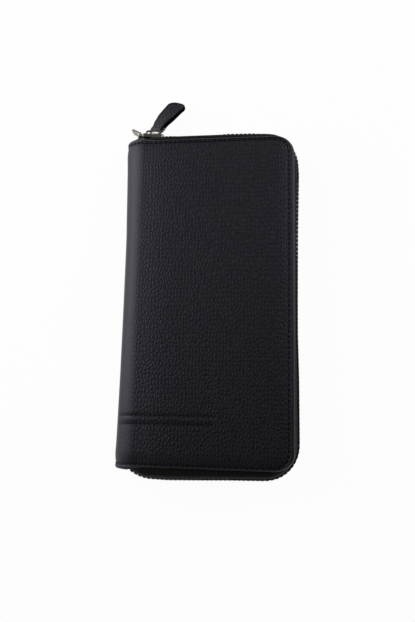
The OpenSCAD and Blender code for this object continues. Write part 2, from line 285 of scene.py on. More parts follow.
# Pressed grey fibre board, matt and flecked
boardLook = {
    "bright": "#8d8578", "dark": "#6c655a", "cloud": 1.2, "grit": 0.3, "depth": 0.04,
    "metal": 0.0, "smooth": 0.8, "dull": 0.95,
}
# Bonded polyester sewing thread, waxy
threadLook = {
    "bright": "#121113", "dark": "#070708", "cloud": 0.45, "grit": 0.12, "depth": 0.03,
    "metal": 0.0, "smooth": 0.55, "dull": 0.7,
}
cloudSpan = {"From Min": 0.3, "From Max": 0.7}  # the part of the clouds' range that goes dark to bright


def mottledMaterial(name, look):
    material, tree, shader = newMaterial(name, {"Metallic": look["metal"]})
    place = addNode(tree, "ShaderNodeTexCoord", {})
    clouds = addNode(
        tree, "ShaderNodeTexNoise", {"Scale": 1 / (look["cloud"] * mm), "Detail": 3.0},
        {"Vector": place.outputs["Object"]},
    )
    spread = addNode(tree, "ShaderNodeMapRange", cloudSpan, {"Value": clouds.outputs["Fac"]})
    grit = addNode(
        tree, "ShaderNodeTexNoise", {"Scale": 1 / (look["grit"] * mm), "Detail": 2.0},
        {"Vector": place.outputs["Object"]},
    )
    bump = addNode(
        tree, "ShaderNodeBump", {"Strength": 1.0, "Distance": look["depth"] * mm},
        {"Height": grit.outputs["Fac"]},
    )
    colour = addNode(
        tree, "ShaderNodeMix",
        {"data_type": "RGBA", 6: hexColour(look["dark"]), 7: hexColour(look["bright"])},
        {0: spread.outputs["Result"]},
    )
    rough = addNode(
        tree, "ShaderNodeMapRange", {"To Min": look["dull"], "To Max": look["smooth"]},
        {"Value": spread.outputs["Result"]},
    )
    plugIn(tree, shader, {
        "Base Color": colour.outputs[2], "Roughness": rough.outputs["Result"],
        "Normal": bump.outputs["Normal"],
    })
    return material


pebbledLeather = leatherMaterial("pebbledLeather", pebbledLook)
plainLeather = leatherMaterial("plainLeather", plainLook)
twillLining = wovenMaterial("twillLining", liningLook)
herringboneTape = wovenMaterial("herringboneTape", tapeLook)
antiqueNickel = mottledMaterial("antiqueNickel", nickelLook)
blackLacquer = mottledMaterial("blackLacquer", toothLook)
fibreBoard = mottledMaterial("fibreBoard", boardLook)
bondedThread = mottledMaterial("bondedThread", threadLook)
print("materials ready")


def newMesh(name, bm):
    mesh = bpy.data.meshes.new(name)
    bm.to_mesh(mesh)
    bm.free()
    return mesh


# Degrees past which an edge stays sharp
sharpPast = {"plain": 40, "solid": 45, "layer": 50, "sheet": 60}


def newPiece(name, bm, material, sharpAngle):
    bmesh.ops.scale(bm, vec=(mm, mm, mm), verts=bm.verts)
    mesh = newMesh(name, bm)
    mesh.materials.append(material)
    mesh.shade_smooth()
    mesh.set_sharp_from_angle(angle=math.radians(sharpAngle))
    piece = bpy.data.objects.new(name, mesh)
    bpy.context.scene.collection.objects.link(piece)
    return piece


def threadPiece(name, bm):
    piece = newPiece(name, bm, bondedThread, sharpPast["plain"])
    return piece


def standFor(piece, *replaced):
    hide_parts(*replaced)
    return piece


def rideNode(piece, node):
    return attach(standFor(piece, node), bodyOf[node])


def bendWithCovers(piece):
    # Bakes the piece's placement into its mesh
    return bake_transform(piece)


def faceOut(bm):
    bmesh.ops.recalc_face_normals(bm, faces=bm.faces)


def roundOff(bm, geom, width, segments, affect="EDGES", clamp=False):
    bmesh.ops.bevel(
        bm, geom=geom, offset=width, offset_type="OFFSET", segments=segments, profile=0.5, affect=affect,
        clamp_overlap=clamp, material=-1,
    )


def steps(first, last, size):
    count = max(1, round((last - first) / size))
    return [first + (last - first) * i / count for i in range(count + 1)]


def between(value, pairs):
    # Straight lines through (place, height) pairs
    if value <= pairs[0][0]:
        return pairs[0][1]
    for (a, low), (b, high) in zip(pairs, pairs[1:]):
        if value <= b:
            return low + (high - low) * (value - a) / (b - a)
    return pairs[-1][1]


def ease(value):
    t = min(1.0, max(0.0, value))
    return t * t * (3 - 2 * t)


def edgeDistance(x, y, panel):
    dx = panel["width"] / 2 - abs(x)
    dy = panel["length"] / 2 - abs(y)
    r = panel["corner"]
    if (x > 0 or panel["allRound"]) and dx < r and dy < r:
        return r - math.hypot(r - dx, r - dy)
    return min(dx, dy)


# How sheets are cut: sides of a round corner, and how near a cut or a face counts as the same
cutting = {"cornerSides": 10, "sameCut": 0.0005, "sameFace": 0.01}


def flatPanel(panel, cutsX, cutsY):
    # A flat cut with round corners: rings follow its edge, and straight cuts cross it so that it can bend
    bm = bmesh.new()
    bmesh.ops.create_grid(bm, x_segments=1, y_segments=1, size=0.5)
    bmesh.ops.scale(bm, vec=(panel["width"], panel["length"], 1), verts=bm.verts)
    corners = [v for v in bm.verts if v.co.x > 0 or panel["allRound"]]
    roundOff(bm, corners, panel["corner"], cutting["cornerSides"], "VERTICES")
    bm.faces.ensure_lookup_table()
    middle = bm.faces[0]
    for (a, _), (b, _) in zip(panel["rings"], panel["rings"][1:]):
        bmesh.ops.inset_region(bm, faces=[middle], thickness=b - a, use_even_offset=True, use_boundary=True)
    for axis, places in ((0, cutsX), (1, cutsY)):
        normal = Vector((1 - axis, axis, 0))
        for place in places:
            bmesh.ops.bisect_plane(
                bm, geom=bm.verts[:] + bm.edges[:] + bm.faces[:], dist=cutting["sameCut"],
                plane_co=normal * place, plane_no=normal,
            )
    return bm


def keepFlat(bm, place):
    # Writes where each corner lies on the flat sheet, in mm, to its UV
    flat = bm.loops.layers.uv.new("flat")
    for face in bm.faces:
        for loop in face.loops:
            across, along = place(loop.vert.co)
            loop[flat].uv = (across * mm, along * mm)


def isUpper(point, panel):
    return point.z > -panel["thick"] + cutting["sameFace"]


def thickenPanel(bm, panel):
    # Gives the flat cut its underside, the heights along its edge, and what the materials read
    faceOut(bm)
    bmesh.ops.solidify(bm, geom=bm.faces[:], thickness=panel["thick"])
    keepFlat(bm, lambda co: (co.x, co.y))
    high = max(v.co.z for v in bm.verts)
    low = min(v.co.z for v in bm.verts)
    rim = bm.verts.layers.float.new("rim")
    # Painted shade: how much each point's shine is lowered, in grooves and on cut edges
    paintedShade = bm.verts.layers.float.new("paintedShade")
    for v in bm.verts:
        upper = v.co.z > (high + low) / 2
        distance = edgeDistance(v.co.x, v.co.y, panel)
        v.co.z = between(distance, panel["rings"]) if upper else -panel["thick"]
        v[rim] = 1 - ease((distance - panel["smoothRim"]) / panel["smoothRim"])
        v[paintedShade] = between(distance, panel.get("paintedShade", [(0, 0)]))
    return rim, paintedShade


def edgeWalk(panel, inset, pitch):
    # Evenly spaced places and headings on a line that follows the panel's edge
    r = panel["corner"] - inset
    half = Vector((panel["width"] / 2 - panel["corner"], panel["length"] / 2 - panel["corner"]))
    centres = [Vector((half.x, -half.y)), half, Vector((-half.x, half.y)), -half]
    spots = []
    runs = [2 * half.y, 2 * half.x, 2 * half.y, 2 * half.x]
    total = sum(runs) + 2 * math.pi * r
    count = round(total / pitch)
    for i in range(count):
        s = total * i / count
        for side in range(4):
            turn = side * math.pi / 2
            out = Vector((math.cos(turn), math.sin(turn)))
            along = Vector((-out.y, out.x))
            if s < runs[side]:
                spots.append((centres[side] + out * r + along * s, turn + math.pi / 2))
                break
            s -= runs[side]
            if s < math.pi / 2 * r:
                bend = turn + s / r
                nextCentre = centres[(side + 1) % 4]
                outBend = Vector((math.cos(bend), math.sin(bend)))
                spots.append((nextCentre + outBend * r, bend + math.pi / 2))
                break
            s -= math.pi / 2 * r
    return spots


def addCopy(bm, shape, matrix):
    known = len(bm.verts)
    bm.from_mesh(shape)
    bm.verts.ensure_lookup_table()
    bmesh.ops.transform(bm, matrix=matrix, verts=bm.verts[known:])


def makeStitchShape():
    # One stitch along z, a unit bead that is stretched to size
    bm = bmesh.new()
    bmesh.ops.create_uvsphere(bm, u_segments=6, v_segments=5, radius=1)
    return newMesh("stitchShape", bm)


stitchShape = makeStitchShape()


def addStitch(bm, place, heading, stitch):
    size = Matrix.Diagonal((stitch["thick"] / 2, stitch["thick"] / 2, stitch["long"] / 2, 1))
    laid = Matrix.Rotation(math.pi / 2, 4, "Y")
    turn = Matrix.Rotation(heading + math.radians(stitch["slant"]), 4, "Z") @ laid
    addCopy(bm, stitchShape, Matrix.Translation(place) @ turn @ size)


def foldOver(flat, radius, fold, middle):
    # Wraps a flat place round a half tube: x above zero is the upper layer
    half = math.pi * radius / 2
    reach = radius + flat.z
    if abs(flat.x) <= half:
        angle = flat.x / radius
        return Vector((fold - reach * math.cos(angle), flat.y, middle + reach * math.sin(angle)))
    side = 1 if flat.x > 0 else -1
    return Vector((fold + abs(flat.x) - half, flat.y, middle + side * reach))


# Outer leather: one hide from the front's free edge, round the spine, to the back's free edge
spineRadius = midZ
spineHalf = math.pi * spineRadius / 2
shell = {
    "width": 2 * (edgeX + 0.6 - foldX + spineHalf),  # the free edge stands 0.6 past the solid's
    "length": 2 * endY,
    "corner": 11.5,
    "allRound": True,
    "thick": topZ - coverLow.z,
    "smoothRim": 1.6,
    # Distance from the edge and height against the padded field: rolled edge, stitch groove, padding
    "rings": [
        (0, -1.9), (0.15, -1.5), (0.4, -1.18), (0.8, -0.88), (1.2, -0.7), (1.6, -0.62),
        (2.1, -0.66), (2.5, -0.82), (2.75, -1.0), (2.95, -1.05), (3.15, -1.01), (3.4, -0.92),
        (4.0, -0.76), (5.2, -0.5), (7, -0.21), (9.5, -0.03), (12, 0),
    ],
    # Painted shade along the stitch groove: how much the leather's shine is lowered, by distance from the edge
    "paintedShade": [(2.3, 0), (2.75, 1), (3.25, 1), (3.7, 0)],
    # The padding's crown starts inside the rim and reaches its height over these lengths
    "crown": 0.35,
    "crownInset": 4,
    "crownRise": 30,
    "crownAcross": 40,
    # The turn from the spine into the front is softer than a round tube
    "shoulder": 1.0,
    "shoulderAt": spineHalf - 4,
    "shoulderHalf": 10,
    "wave": 0.12,
    "waveLength": 34,
    # How far the soft spine stands out along its length
    "spineBow": [
        (-98, 2.0), (-84, 1.1), (-66, 0.8), (-45, 0.4), (0, -0.05), (40, -0.2), (60, 0.3), (84, 0.9),
        (98, 1.8),
    ],
    # Sewn rows across the front and the spine
    "seams": [-68.2, -73.1],
    "seamFrom": -6,
    "seamTo": spineHalf + 7 - foldX,
    "seamFade": 1.5,
    "seamDepth": 0.32,
    "seamHalf": 0.22,
    # Grain: smooth across the spine, flatter along the sewn rows, finer at the upper end
    "smoothPast": 9,
    "smoothOver": 16,
    "seamSmooth": 0.4,
    "fineAbove": 0.25,
    # Spacing of the cuts that let it bend, closest on the spine
    "spineCut": 1.2,
    "spineCutPast": 1,
    "fieldCut": 4,
    "cutClear": 9,
    "seamEndCut": 1,
    "seamCuts": (-1.8, -1.1, -0.55, 0, 0.55, 1.1, 1.8),
}
# How the ends are trimmed: by how much, from where along or across the flat hide, and over what length
trim = {
    "frontShort": 0.8,
    "frontFrom": 58,
    "frontOver": 40,
    "spineLong": 1.3,
    "spineFrom": 70,
    "spineOver": 28,
    "spineWide": 26,
    "spineBlend": 12,
    "flatFrom": 12,
    "flatOver": 14,
    "lowerRimCut": 1.7,
    "upperSeamOut": 1.4,
    "seamOutTo": 15,
    "seamOutOver": 12,
}
edgeStitch = {"pitch": 3.0, "long": 2.5, "thick": 0.72, "slant": 4, "inset": 2.95, "height": -0.92}
seamStitch = {"pitch": 2.8, "long": 2.4, "thick": 0.38, "slant": 0, "height": -0.27, "clear": 2}


def seamDip(x, y):
    if not shell["seamFrom"] < x < shell["seamTo"]:
        return 0.0
    fade = ease((shell["seamTo"] - x) / shell["seamFade"]) * ease((x - shell["seamFrom"]) / shell["seamFade"])
    return max(math.exp(-((y - seam) / shell["seamHalf"]) ** 2) for seam in shell["seams"]) * fade


def fieldHeight(x, y):
    # Soft crown, shoulder and slow waves of the padded front; the back lies flat on what it rests on
    inside = ease((edgeDistance(x, y, shell) - shell["crownInset"]) / shell["crownRise"])
    face = ease((x + spineHalf) / spineHalf)
    at = Vector((x, y, 0)) / shell["waveLength"]
    crown = shell["crown"] * inside * ease((x - spineHalf / 2) / shell["crownAcross"])
    shoulder = shell["shoulder"] * math.exp(-((x - shell["shoulderAt"]) / shell["shoulderHalf"]) ** 2)
    return (crown - shoulder + shell["wave"] * noise.noise(at) * inside) * face


def wrapTrimmed(point, lift=0.0):
    # The front's upper end is cut a little shorter, and the spine's upper end longer
    x, y = point.x, point.y
    onFront = ease((x - trim["flatFrom"]) / trim["flatOver"])
    onSpine = ease((trim["spineWide"] - abs(x)) / trim["spineBlend"])
    cut = trim["frontShort"] * ease((y - trim["frontFrom"]) / trim["frontOver"]) * onFront
    cut -= trim["spineLong"] * ease((y - trim["spineFrom"]) / trim["spineOver"]) * onSpine
    # At both ends the seam runs closer to the edge than along the free side
    distance = edgeDistance(x, y, shell)
    offSpine = ease((abs(x) - trim["flatFrom"]) / trim["flatOver"])
    atEnd = ease((abs(y) - endY + shell["corner"]) / shell["corner"]) * offSpine
    outside = min(1, max(0, 1 - distance / edgeStitch["inset"]))
    if y < 0:
        cut -= trim["lowerRimCut"] * outside * atEnd
    else:
        nearSeam = ease((trim["seamOutTo"] - distance) / trim["seamOutOver"])
        cut -= trim["upperSeamOut"] * (1 - outside) * nearSeam * atEnd
    return foldOver(Vector((x, y - cut, point.z + lift)), spineRadius, foldX, midZ)


def placeOnShell(point):
    dip = shell["seamDepth"] * seamDip(point.x, point.y)
    place = wrapTrimmed(point, fieldHeight(point.x, point.y) - dip)
    if abs(point.x) < spineHalf:
        place.x -= between(point.y, shell["spineBow"]) * math.cos(point.x / spineRadius) ** 2
    return place


def makeShell():
    half = shell["width"] / 2
    step, clear = shell["fieldCut"], shell["cutClear"]
    spineCuts = spineHalf + shell["spineCutPast"]
    cutsX = steps(-spineCuts, spineCuts, shell["spineCut"])
    cutsX += steps(spineHalf + step, half - clear, step) + steps(clear - half, -spineHalf - step, step)
    cutsX += [shell["seamFrom"], shell["seamTo"] - shell["seamEndCut"], shell["seamTo"]]
    cutsY = steps(clear - endY, endY - clear, step)
    for seam in shell["seams"]:
        cutsY += [seam + shell["seamHalf"] * k for k in shell["seamCuts"]]
    bm = flatPanel(shell, cutsX, cutsY)
    rim, paintedShade = thickenPanel(bm, shell)
    for v in bm.verts:
        dip = seamDip(v.co.x, v.co.y)
        stretched = ease((spineHalf + shell["smoothPast"] - abs(v.co.x)) / shell["smoothOver"])
        fine = shell["fineAbove"] * ease((v.co.y + endY) / endY)
        v[rim] = max(v[rim], stretched, fine, shell["seamSmooth"] * dip)
        # Painted shade in the sewn rows' grooves as well
        v[paintedShade] = max(v[paintedShade], math.sqrt(dip))
        v.co = placeOnShell(v.co) if isUpper(v.co, shell) else wrapTrimmed(v.co)
    faceOut(bm)
    piece = newPiece("outer_leather", bm, pebbledLeather, sharpPast["sheet"])
    standFor(piece, "front_cover", "back_cover", "spine_leather")
    bendWithCovers(piece)


def makeShellStitches():
    bm = bmesh.new()
    for place, heading in edgeWalk(shell, edgeStitch["inset"], edgeStitch["pitch"]):
        addStitch(bm, Vector((place.x, place.y, edgeStitch["height"])), heading, edgeStitch)
    first, last = shell["seamFrom"] + seamStitch["clear"], shell["seamTo"] - seamStitch["clear"]
    for seam in shell["seams"]:
        for x in steps(first, last, seamStitch["pitch"]):
            addStitch(bm, Vector((x, seam, seamStitch["height"] + shell["seamDepth"])), 0, seamStitch)
    for v in bm.verts:
        v.co = placeOnShell(v.co)
    bendWithCovers(threadPiece("cover_stitching", bm))


makeShell()
makeShellStitches()
print("outer leather and its stitching ready")


# Cuts that let the sheets inside bend, and how far they keep from the bend and the edge
wrapCut = {"bend": 1.6, "across": 10, "along": 12, "clear": 6, "edgeClear": 4}


def makeWrappedSheet(name, replaced, look, material):
    # A thin sheet that follows the outer leather's inside round the spine
    half = look["width"] / 2
    bend = math.pi * look["radius"] / 2
    cutsX = steps(-min(half, bend), min(half, bend), wrapCut["bend"])
    if half > bend:
        first, last = bend + wrapCut["clear"], half - wrapCut["edgeClear"]
        cutsX += steps(first, last, wrapCut["across"]) + steps(-last, -first, wrapCut["across"])
    reach = look["length"] / 2 - wrapCut["clear"]
    bm = flatPanel(look, cutsX, steps(-reach, reach, wrapCut["along"]))
    thickenPanel(bm, look)
    for v in bm.verts:
        v.co = foldOver(v.co, look["radius"], foldX, midZ)
    faceOut(bm)
    piece = standFor(newPiece(name, bm, material, sharpPast["sheet"]), *replaced)
    bendWithCovers(piece)


liningLow, liningHigh = boxOf("front_lining")
liningRadius = liningHigh.z - midZ
lining = {
    "radius": liningRadius,
    "width": 2 * (liningHigh.x - foldX) + math.pi * liningRadius,
    "length": 2 * liningHigh.y,
    "corner": 13,
    "allRound": True,
    "thick": liningHigh.z - liningLow.z,
    "smoothRim": 1.0,
    "rings": [(0, -0.15), (0.3, 0), (2.0, 0)],
}
stiffenerHigh = boxOf("spine_stiffener")[1]
stiffenerRadius = stiffenerHigh.z - midZ
stiffener = {
    "radius": stiffenerRadius,
    "width": math.pi * stiffenerRadius - 0.4,
    "length": 2 * stiffenerHigh.y - 2,
    "corner": 1,
    "allRound": True,
    "thick": 0.7,
    "smoothRim": 1.0,
    "rings": [(0, -0.1), (0.2, 0), (0.8, 0)],
}
makeWrappedSheet("inner_lining", ["front_lining", "back_lining", "spine_lining"], lining, twillLining)
makeWrappedSheet("spine_stiffener_sheet", ["spine_stiffener"], stiffener, fibreBoard)
for boardNode in ("front_board", "back_board"):
    nodes[boardNode].data.materials.clear()
    nodes[boardNode].data.materials.append(fibreBoard)
print("lining and boards ready")


def makeFlatSheet(name, node, look, faceUp, material, cutsX=(), cutsY=(), shape=None, hole=None):
    # A flat sewn layer in its solid's place; shape lifts its outer face, hole is a window in it
    low, high = boxOf(node)
    centre = (low + high) / 2
    panel = dict(look, width=high.x - low.x, length=high.y - low.y, thick=high.z - low.z)
    bm = flatPanel(panel, [x - centre.x for x in cutsX], cutsY)
    if hole:
        inside = []
        for face in bm.faces:
            at = face.calc_center_median()
            if hole[0] < at.x + centre.x < hole[1] and abs(at.y) < hole[2]:
                inside.append(face)
        bmesh.ops.delete(bm, geom=inside, context="FACES")
    thickenPanel(bm, panel)
    for v in bm.verts:
        if shape and isUpper(v.co, panel):
            v.co.z += shape(v.co.x + centre.x, v.co.y)
        face = high.z + v.co.z if faceUp else low.z - v.co.z
        v.co = Vector((v.co.x + centre.x, v.co.y + centre.y, face))
    faceOut(bm)
    piece = rideNode(newPiece(name, bm, material, sharpPast["layer"]), node)
    area = panel["width"] * panel["length"] - (2 - math.pi / 2) * panel["corner"] ** 2
    if hole:
        area -= (hole[1] - hole[0]) * 2 * hole[2]


# Card layers: each mouth is a turned edge that lifts a little between its seams
card = {
    "corner": 4,
    "allRound": False,
    "smoothRim": 1.2,
    "rings": [(0, -0.2), (0.15, -0.07), (0.45, 0), (1.0, 0), (1.4, -0.07), (1.8, 0)],
    "lift": 0.28,
    "liftShape": 0.7,
    "step": 12,
    "layers": 4,
    "sideSeam": 3,
    "mouthCut": 2.2,
    "mouthClear": 3,
    "alongCut": 5,
    "alongClear": 4,
}
# Seams of a layer: rows across at both ends and in the middle, and one along its mouth
cardStitch = {
    "pitch": 2.6, "long": 2.1, "thick": 0.36, "slant": 5,
    "above": 0.02, "endRow": 3.4, "endClear": 2, "stepClear": 1, "mouthRow": 1.4, "mouthClear": 6,
}


def makeCards(cover, faceUp):
    stitches = bmesh.new()
    for layer in range(1, card["layers"] + 1):
        node = f"{cover}_card_{layer}"
        low, high = boxOf(node)
        column = high.y - card["sideSeam"]

        def mouthLift(x, y):
            rise = ease((x - high.x + card["step"]) / card["step"])
            return card["lift"] * rise * abs(math.sin(math.pi * y / column)) ** card["liftShape"]

        last = layer == card["layers"]
        lift = None if last else mouthLift
        stepX = high.x - card["step"]
        cutsX = steps(stepX, high.x - card["mouthClear"], card["mouthCut"])
        cutEnd = high.y - card["alongClear"]
        cutsY = steps(-cutEnd, cutEnd, card["alongCut"])
        makeFlatSheet(node + "_pocket", node, card, faceUp, plainLeather, cutsX, cutsY, lift)
        face = high.z + cardStitch["above"] if faceUp else low.z - cardStitch["above"]
        seamTo = low.x + cardStitch["endClear"] if last else stepX + cardStitch["stepClear"]
        endRow = high.y - cardStitch["endRow"]
        for x in steps(seamTo, high.x - cardStitch["endClear"], cardStitch["pitch"]):
            for y in (-endRow, 0, endRow):
                addStitch(stitches, Vector((x, y, face)), 0, cardStitch)
        rowEnd = high.y - cardStitch["mouthClear"]
        for y in steps(-rowEnd, rowEnd, cardStitch["pitch"]):
            addStitch(stitches, Vector((high.x - cardStitch["mouthRow"], y, face)), math.pi / 2, cardStitch)
    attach(threadPiece(cover + "_card_stitching", stitches), cover)


makeCards("back", True)
makeCards("front", False)
print("card layers ready")


# End gussets: one pleated strip from lining to lining, folded in twice
gusset = {
    "out": endY - 3, "pleat": 15, "flange": 5, "thick": 0.36, "round": 0.9, "strips": 10,
    "clear": 0.3, "foldGap": 0.4, "foldAngle": 0.5, "roundSides": 3,
}


def makeGusset(node, side):
    low, high = boxOf(node)
    rest = low.z + gusset["clear"]
    fold = (rest + midZ) / 2 + gusset["foldGap"]
    outY, inY = gusset["out"], gusset["out"] - gusset["pleat"]
    line = [(outY - gusset["flange"], rest), (outY, rest), (inY, fold), (outY, midZ)]
    line += [(inY, topZ - fold), (outY, topZ - rest), (outY - gusset["flange"], topZ - rest)]
    bm = bmesh.new()
    spots = [bm.verts.new((low.x, side * y, z)) for y, z in line]
    run = [bm.edges.new(pair) for pair in zip(spots, spots[1:])]
    reach = (high.x - low.x) / gusset["strips"]
    bmesh.ops.spin(
        bm, geom=spots + run, cent=(0, 0, 0), axis=(0, 0, 1), dvec=(reach, 0, 0), angle=0,
        steps=gusset["strips"],
    )
    faceOut(bm)
    folds = [e for e in bm.edges if e.is_manifold and e.calc_face_angle() > gusset["foldAngle"]]
    roundOff(bm, folds, gusset["round"], gusset["roundSides"])
    bmesh.ops.solidify(bm, geom=bm.faces[:], thickness=gusset["thick"])
    keepFlat(bm, lambda co: (co.x, co.y + co.z))
    faceOut(bm)
    piece = standFor(newPiece(node + "_pleats", bm, twillLining, sharpPast["layer"]), node)
    bendWithCovers(piece)


makeGusset("top_gusset", 1)
makeGusset("bottom_gusset", -1)
print("gussets ready")


# Coin leaf: two leather walls sewn over a binding, the front one with the zip's window
leaf = {
    "corner": 6,
    "allRound": False,
    "smoothRim": 1.5,
    "rings": [(0, -0.4), (0.25, -0.14), (0.7, 0), (1.3, -0.02), (1.8, -0.14), (2.3, -0.02), (3.2, 0)],
}
leafStitch = {
    "pitch": 2.8, "long": 2.3, "thick": 0.42, "slant": 5,
    "inset": 1.8, "sunk": 0.06, "startClear": 2, "cornerClear": 6,
}
# The window for the coin zip: half its width, its length past the teeth, its turned rim and its seam
window = {
    "half": 4.6, "past": 1.35, "cuts": (0, 0.3, 0.8, 1.2), "rim": [(0, -0.3), (0.3, -0.08), (0.8, 0)],
    "seamOut": 1.6, "seamAbove": 0.04, "seamClear": 1,
}
wallLow, wallHigh = boxOf("leaf_front_wall")
coinX = (boxOf("coin_tape_inner")[1].x + boxOf("coin_tape_outer")[0].x) / 2
windowLeft, windowRight = coinX - window["half"], coinX + window["half"]
windowEnd = window["past"] - boxOf("coin_teeth_inner")[0].y


def windowRim(x, y):
    gapX = max(windowLeft - x, x - windowRight)
    return between(max(gapX, abs(y) - windowEnd, 0), window["rim"])


def makeLeaf():
    cutsX = [windowLeft - k for k in reversed(window["cuts"])] + [windowRight + k for k in window["cuts"]]
    cutsY = [side * (windowEnd + k) for side in (-1, 1) for k in window["cuts"]]
    makeFlatSheet(
        "leaf_front_panel", "leaf_front_wall", leaf, True, plainLeather, cutsX, cutsY, windowRim,
        (windowLeft, windowRight, windowEnd),
    )
    makeFlatSheet("leaf_back_panel", "leaf_back_wall", leaf, False, plainLeather)
    stitches = bmesh.new()
    lastX, lastY = wallHigh.x - leafStitch["inset"], wallHigh.y - leafStitch["inset"]
    turnX, turnY = lastX - leafStitch["cornerClear"], lastY - leafStitch["cornerClear"]
    for z in (wallHigh.z - leafStitch["sunk"], boxOf("leaf_back_wall")[0].z + leafStitch["sunk"]):
        for x in steps(wallLow.x + leafStitch["startClear"], turnX, leafStitch["pitch"]):
            for y in (-lastY, lastY):
                addStitch(stitches, Vector((x, y, z)), 0, leafStitch)
        for y in steps(-turnY, turnY, leafStitch["pitch"]):
            addStitch(stitches, Vector((lastX, y, z)), math.pi / 2, leafStitch)
    seamEnd = windowEnd - window["seamClear"]
    seamZ = wallHigh.z + window["seamAbove"]
    for y in steps(-seamEnd, seamEnd, leafStitch["pitch"]):
        for x in (windowLeft - window["seamOut"], windowRight + window["seamOut"]):
            addStitch(stitches, Vector((x, y, seamZ)), math.pi / 2, leafStitch)
    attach(threadPiece("leaf_stitching", stitches), "leaf")


makeLeaf()


# How a solid is softened: merged within a distance, flat faces joined, edges past an angle rounded
soften = {"merge": 0.002, "flat": math.radians(1), "sharp": math.radians(30)}


def softenedCopy(name, node, material, width, segments):
    bm = bmesh.new()
    bm.from_mesh(nodes[node].data)
    bmesh.ops.scale(bm, vec=(1 / mm, 1 / mm, 1 / mm), verts=bm.verts)
    bmesh.ops.remove_doubles(bm, verts=bm.verts, dist=soften["merge"])
    bmesh.ops.dissolve_limit(bm, angle_limit=soften["flat"], verts=bm.verts, edges=bm.edges)
    sharp = [e for e in bm.edges if e.is_manifold and e.calc_face_angle() > soften["sharp"]]
    roundOff(bm, sharp, width, segments, clamp=True)
    if not bm.loops.layers.uv:
        bm.loops.layers.uv.new("flat")
    return rideNode(newPiece(name, bm, material, sharpPast["solid"]), node)


def setFlatUv(piece):
    # Flat places from above, for woven strips and leather strips cut from a solid
    mesh = piece.data
    layer = mesh.uv_layers.get("flat") or mesh.uv_layers.new(name="flat")
    for loop in mesh.loops:
        co = mesh.vertices[loop.vertex_index].co
        layer.data[loop.index].uv = (co.y, co.x + co.z)


strips = {
    "leaf_binding": plainLeather,
    "leaf_strip": twillLining,
    "coin_tape_inner": herringboneTape,
    "coin_tape_outer": herringboneTape,
}
stripEdge = {"width": 0.12, "segments": 2}
for stripNode, stripMaterial in strips.items():
    setFlatUv(softenedCopy(stripNode + "_sewn", stripNode, stripMaterial, **stripEdge))


def makeMetal(parts):
    for node, (ending, width, segments) in parts.items():
        softenedCopy(node + ending, node, antiqueNickel, width, segments)


# Metal of the coin zip: each name's ending, the width of its rounded edges and their segments
makeMetal({
    "coin_teeth_inner": ("_row", 0.12, 1),
    "coin_teeth_outer": ("_row", 0.12, 1),
    "coin_slider": ("_cast", 0.15, 2),
    "coin_pull": ("_cast", 0.12, 2),
})
print("coin leaf ready")


# Main zip: a line at half the wallet's height, from the slider round the free edge into the spine
zipTeethLow, zipTeethHigh = boxOf("front_zip_teeth")
sliderLow, sliderHigh = boxOf("slider_body")
tooth = {
    "pitch": 2.6,
    "thick": 3.0,
    "outline": [(0.3, -0.8), (0.55, -0.2), (0.4, 0.9), (0.96, 1.4), (0.96, 2.6)],
    "round": 0.22,
    "roundSides": 2,
    # The rows part under the slider: from where past its middle, over what length, by how much
    "partFrom": 2,
    "partOver": 7,
    "partBy": 2.2,
    "endClear": 2,
}
zipLine = {
    "x": zipTeethHigh.x - tooth["thick"] / 2,
    "y": zipTeethHigh.y - tooth["thick"] / 2,
    "radius": 19,
    "startX": zipTeethLow.x + tooth["outline"][-1][0],
    "turnX": 21 - edgeX,
    "endRadius": 22,
    "endTurn": math.radians(42),
    "slider": (sliderLow.x + sliderHigh.x) / 2,
}
cornerX = zipLine["x"] - zipLine["radius"]
cornerY = zipLine["y"] - zipLine["radius"]
endCentre = Vector((zipLine["turnX"], zipLine["endRadius"] - zipLine["y"]))
quarter = zipLine["radius"] * math.pi / 2
lastBend = zipLine["endRadius"] * zipLine["endTurn"]
runEnds = [cornerX - zipLine["startX"]]
for runLength in (quarter, 2 * cornerY, quarter, cornerX - zipLine["turnX"], lastBend):
    runEnds.append(runEnds[-1] + runLength)


def zipAt(s):
    # Place and heading on the zip line, counted from the slider's end
    def onArc(x, y, r, angle):
        return Vector((x + r * math.cos(angle), y + r * math.sin(angle))), angle - math.pi / 2

    r = zipLine["radius"]
    if s < runEnds[0]:
        return Vector((zipLine["startX"] + s, zipLine["y"])), 0.0
    if s < runEnds[1]:
        return onArc(cornerX, cornerY, r, math.pi / 2 - (s - runEnds[0]) / r)
    if s < runEnds[2]:
        return Vector((zipLine["x"], cornerY - (s - runEnds[1]))), -math.pi / 2
    if s < runEnds[3]:
        return onArc(cornerX, -cornerY, r, -(s - runEnds[2]) / r)
    if s < runEnds[4]:
        return Vector((cornerX - (s - runEnds[3]), -zipLine["y"])), -math.pi
    endR = zipLine["endRadius"]
    return onArc(endCentre.x, endCentre.y, endR, -math.pi / 2 - (s - runEnds[4]) / endR)


def zipDistance(x, y):
    # How far along the zip line a point lies
    r = zipLine["radius"]
    if x > cornerX:
        if y > cornerY:
            return runEnds[0] + (math.pi / 2 - math.atan2(y - cornerY, x - cornerX)) * r
        if y > -cornerY:
            return runEnds[1] + cornerY - y
        return runEnds[2] - math.atan2(y + cornerY, x - cornerX) * r
    if y > 0:
        return x - zipLine["startX"]
    if x > zipLine["turnX"]:
        return runEnds[3] + cornerX - x
    turned = math.atan2(zipLine["turnX"] - x, endCentre.y - y)
    return runEnds[4] + turned * zipLine["endRadius"]


# The sewn zip is not quite straight: outwards along the two ends by x, and along the free edge by y
upperSway = [(-40, 0), (2, 0.05), (12, -0.05), (28, -0.35), (36, -0.4), (44, 0.5), (50, 0.5)]
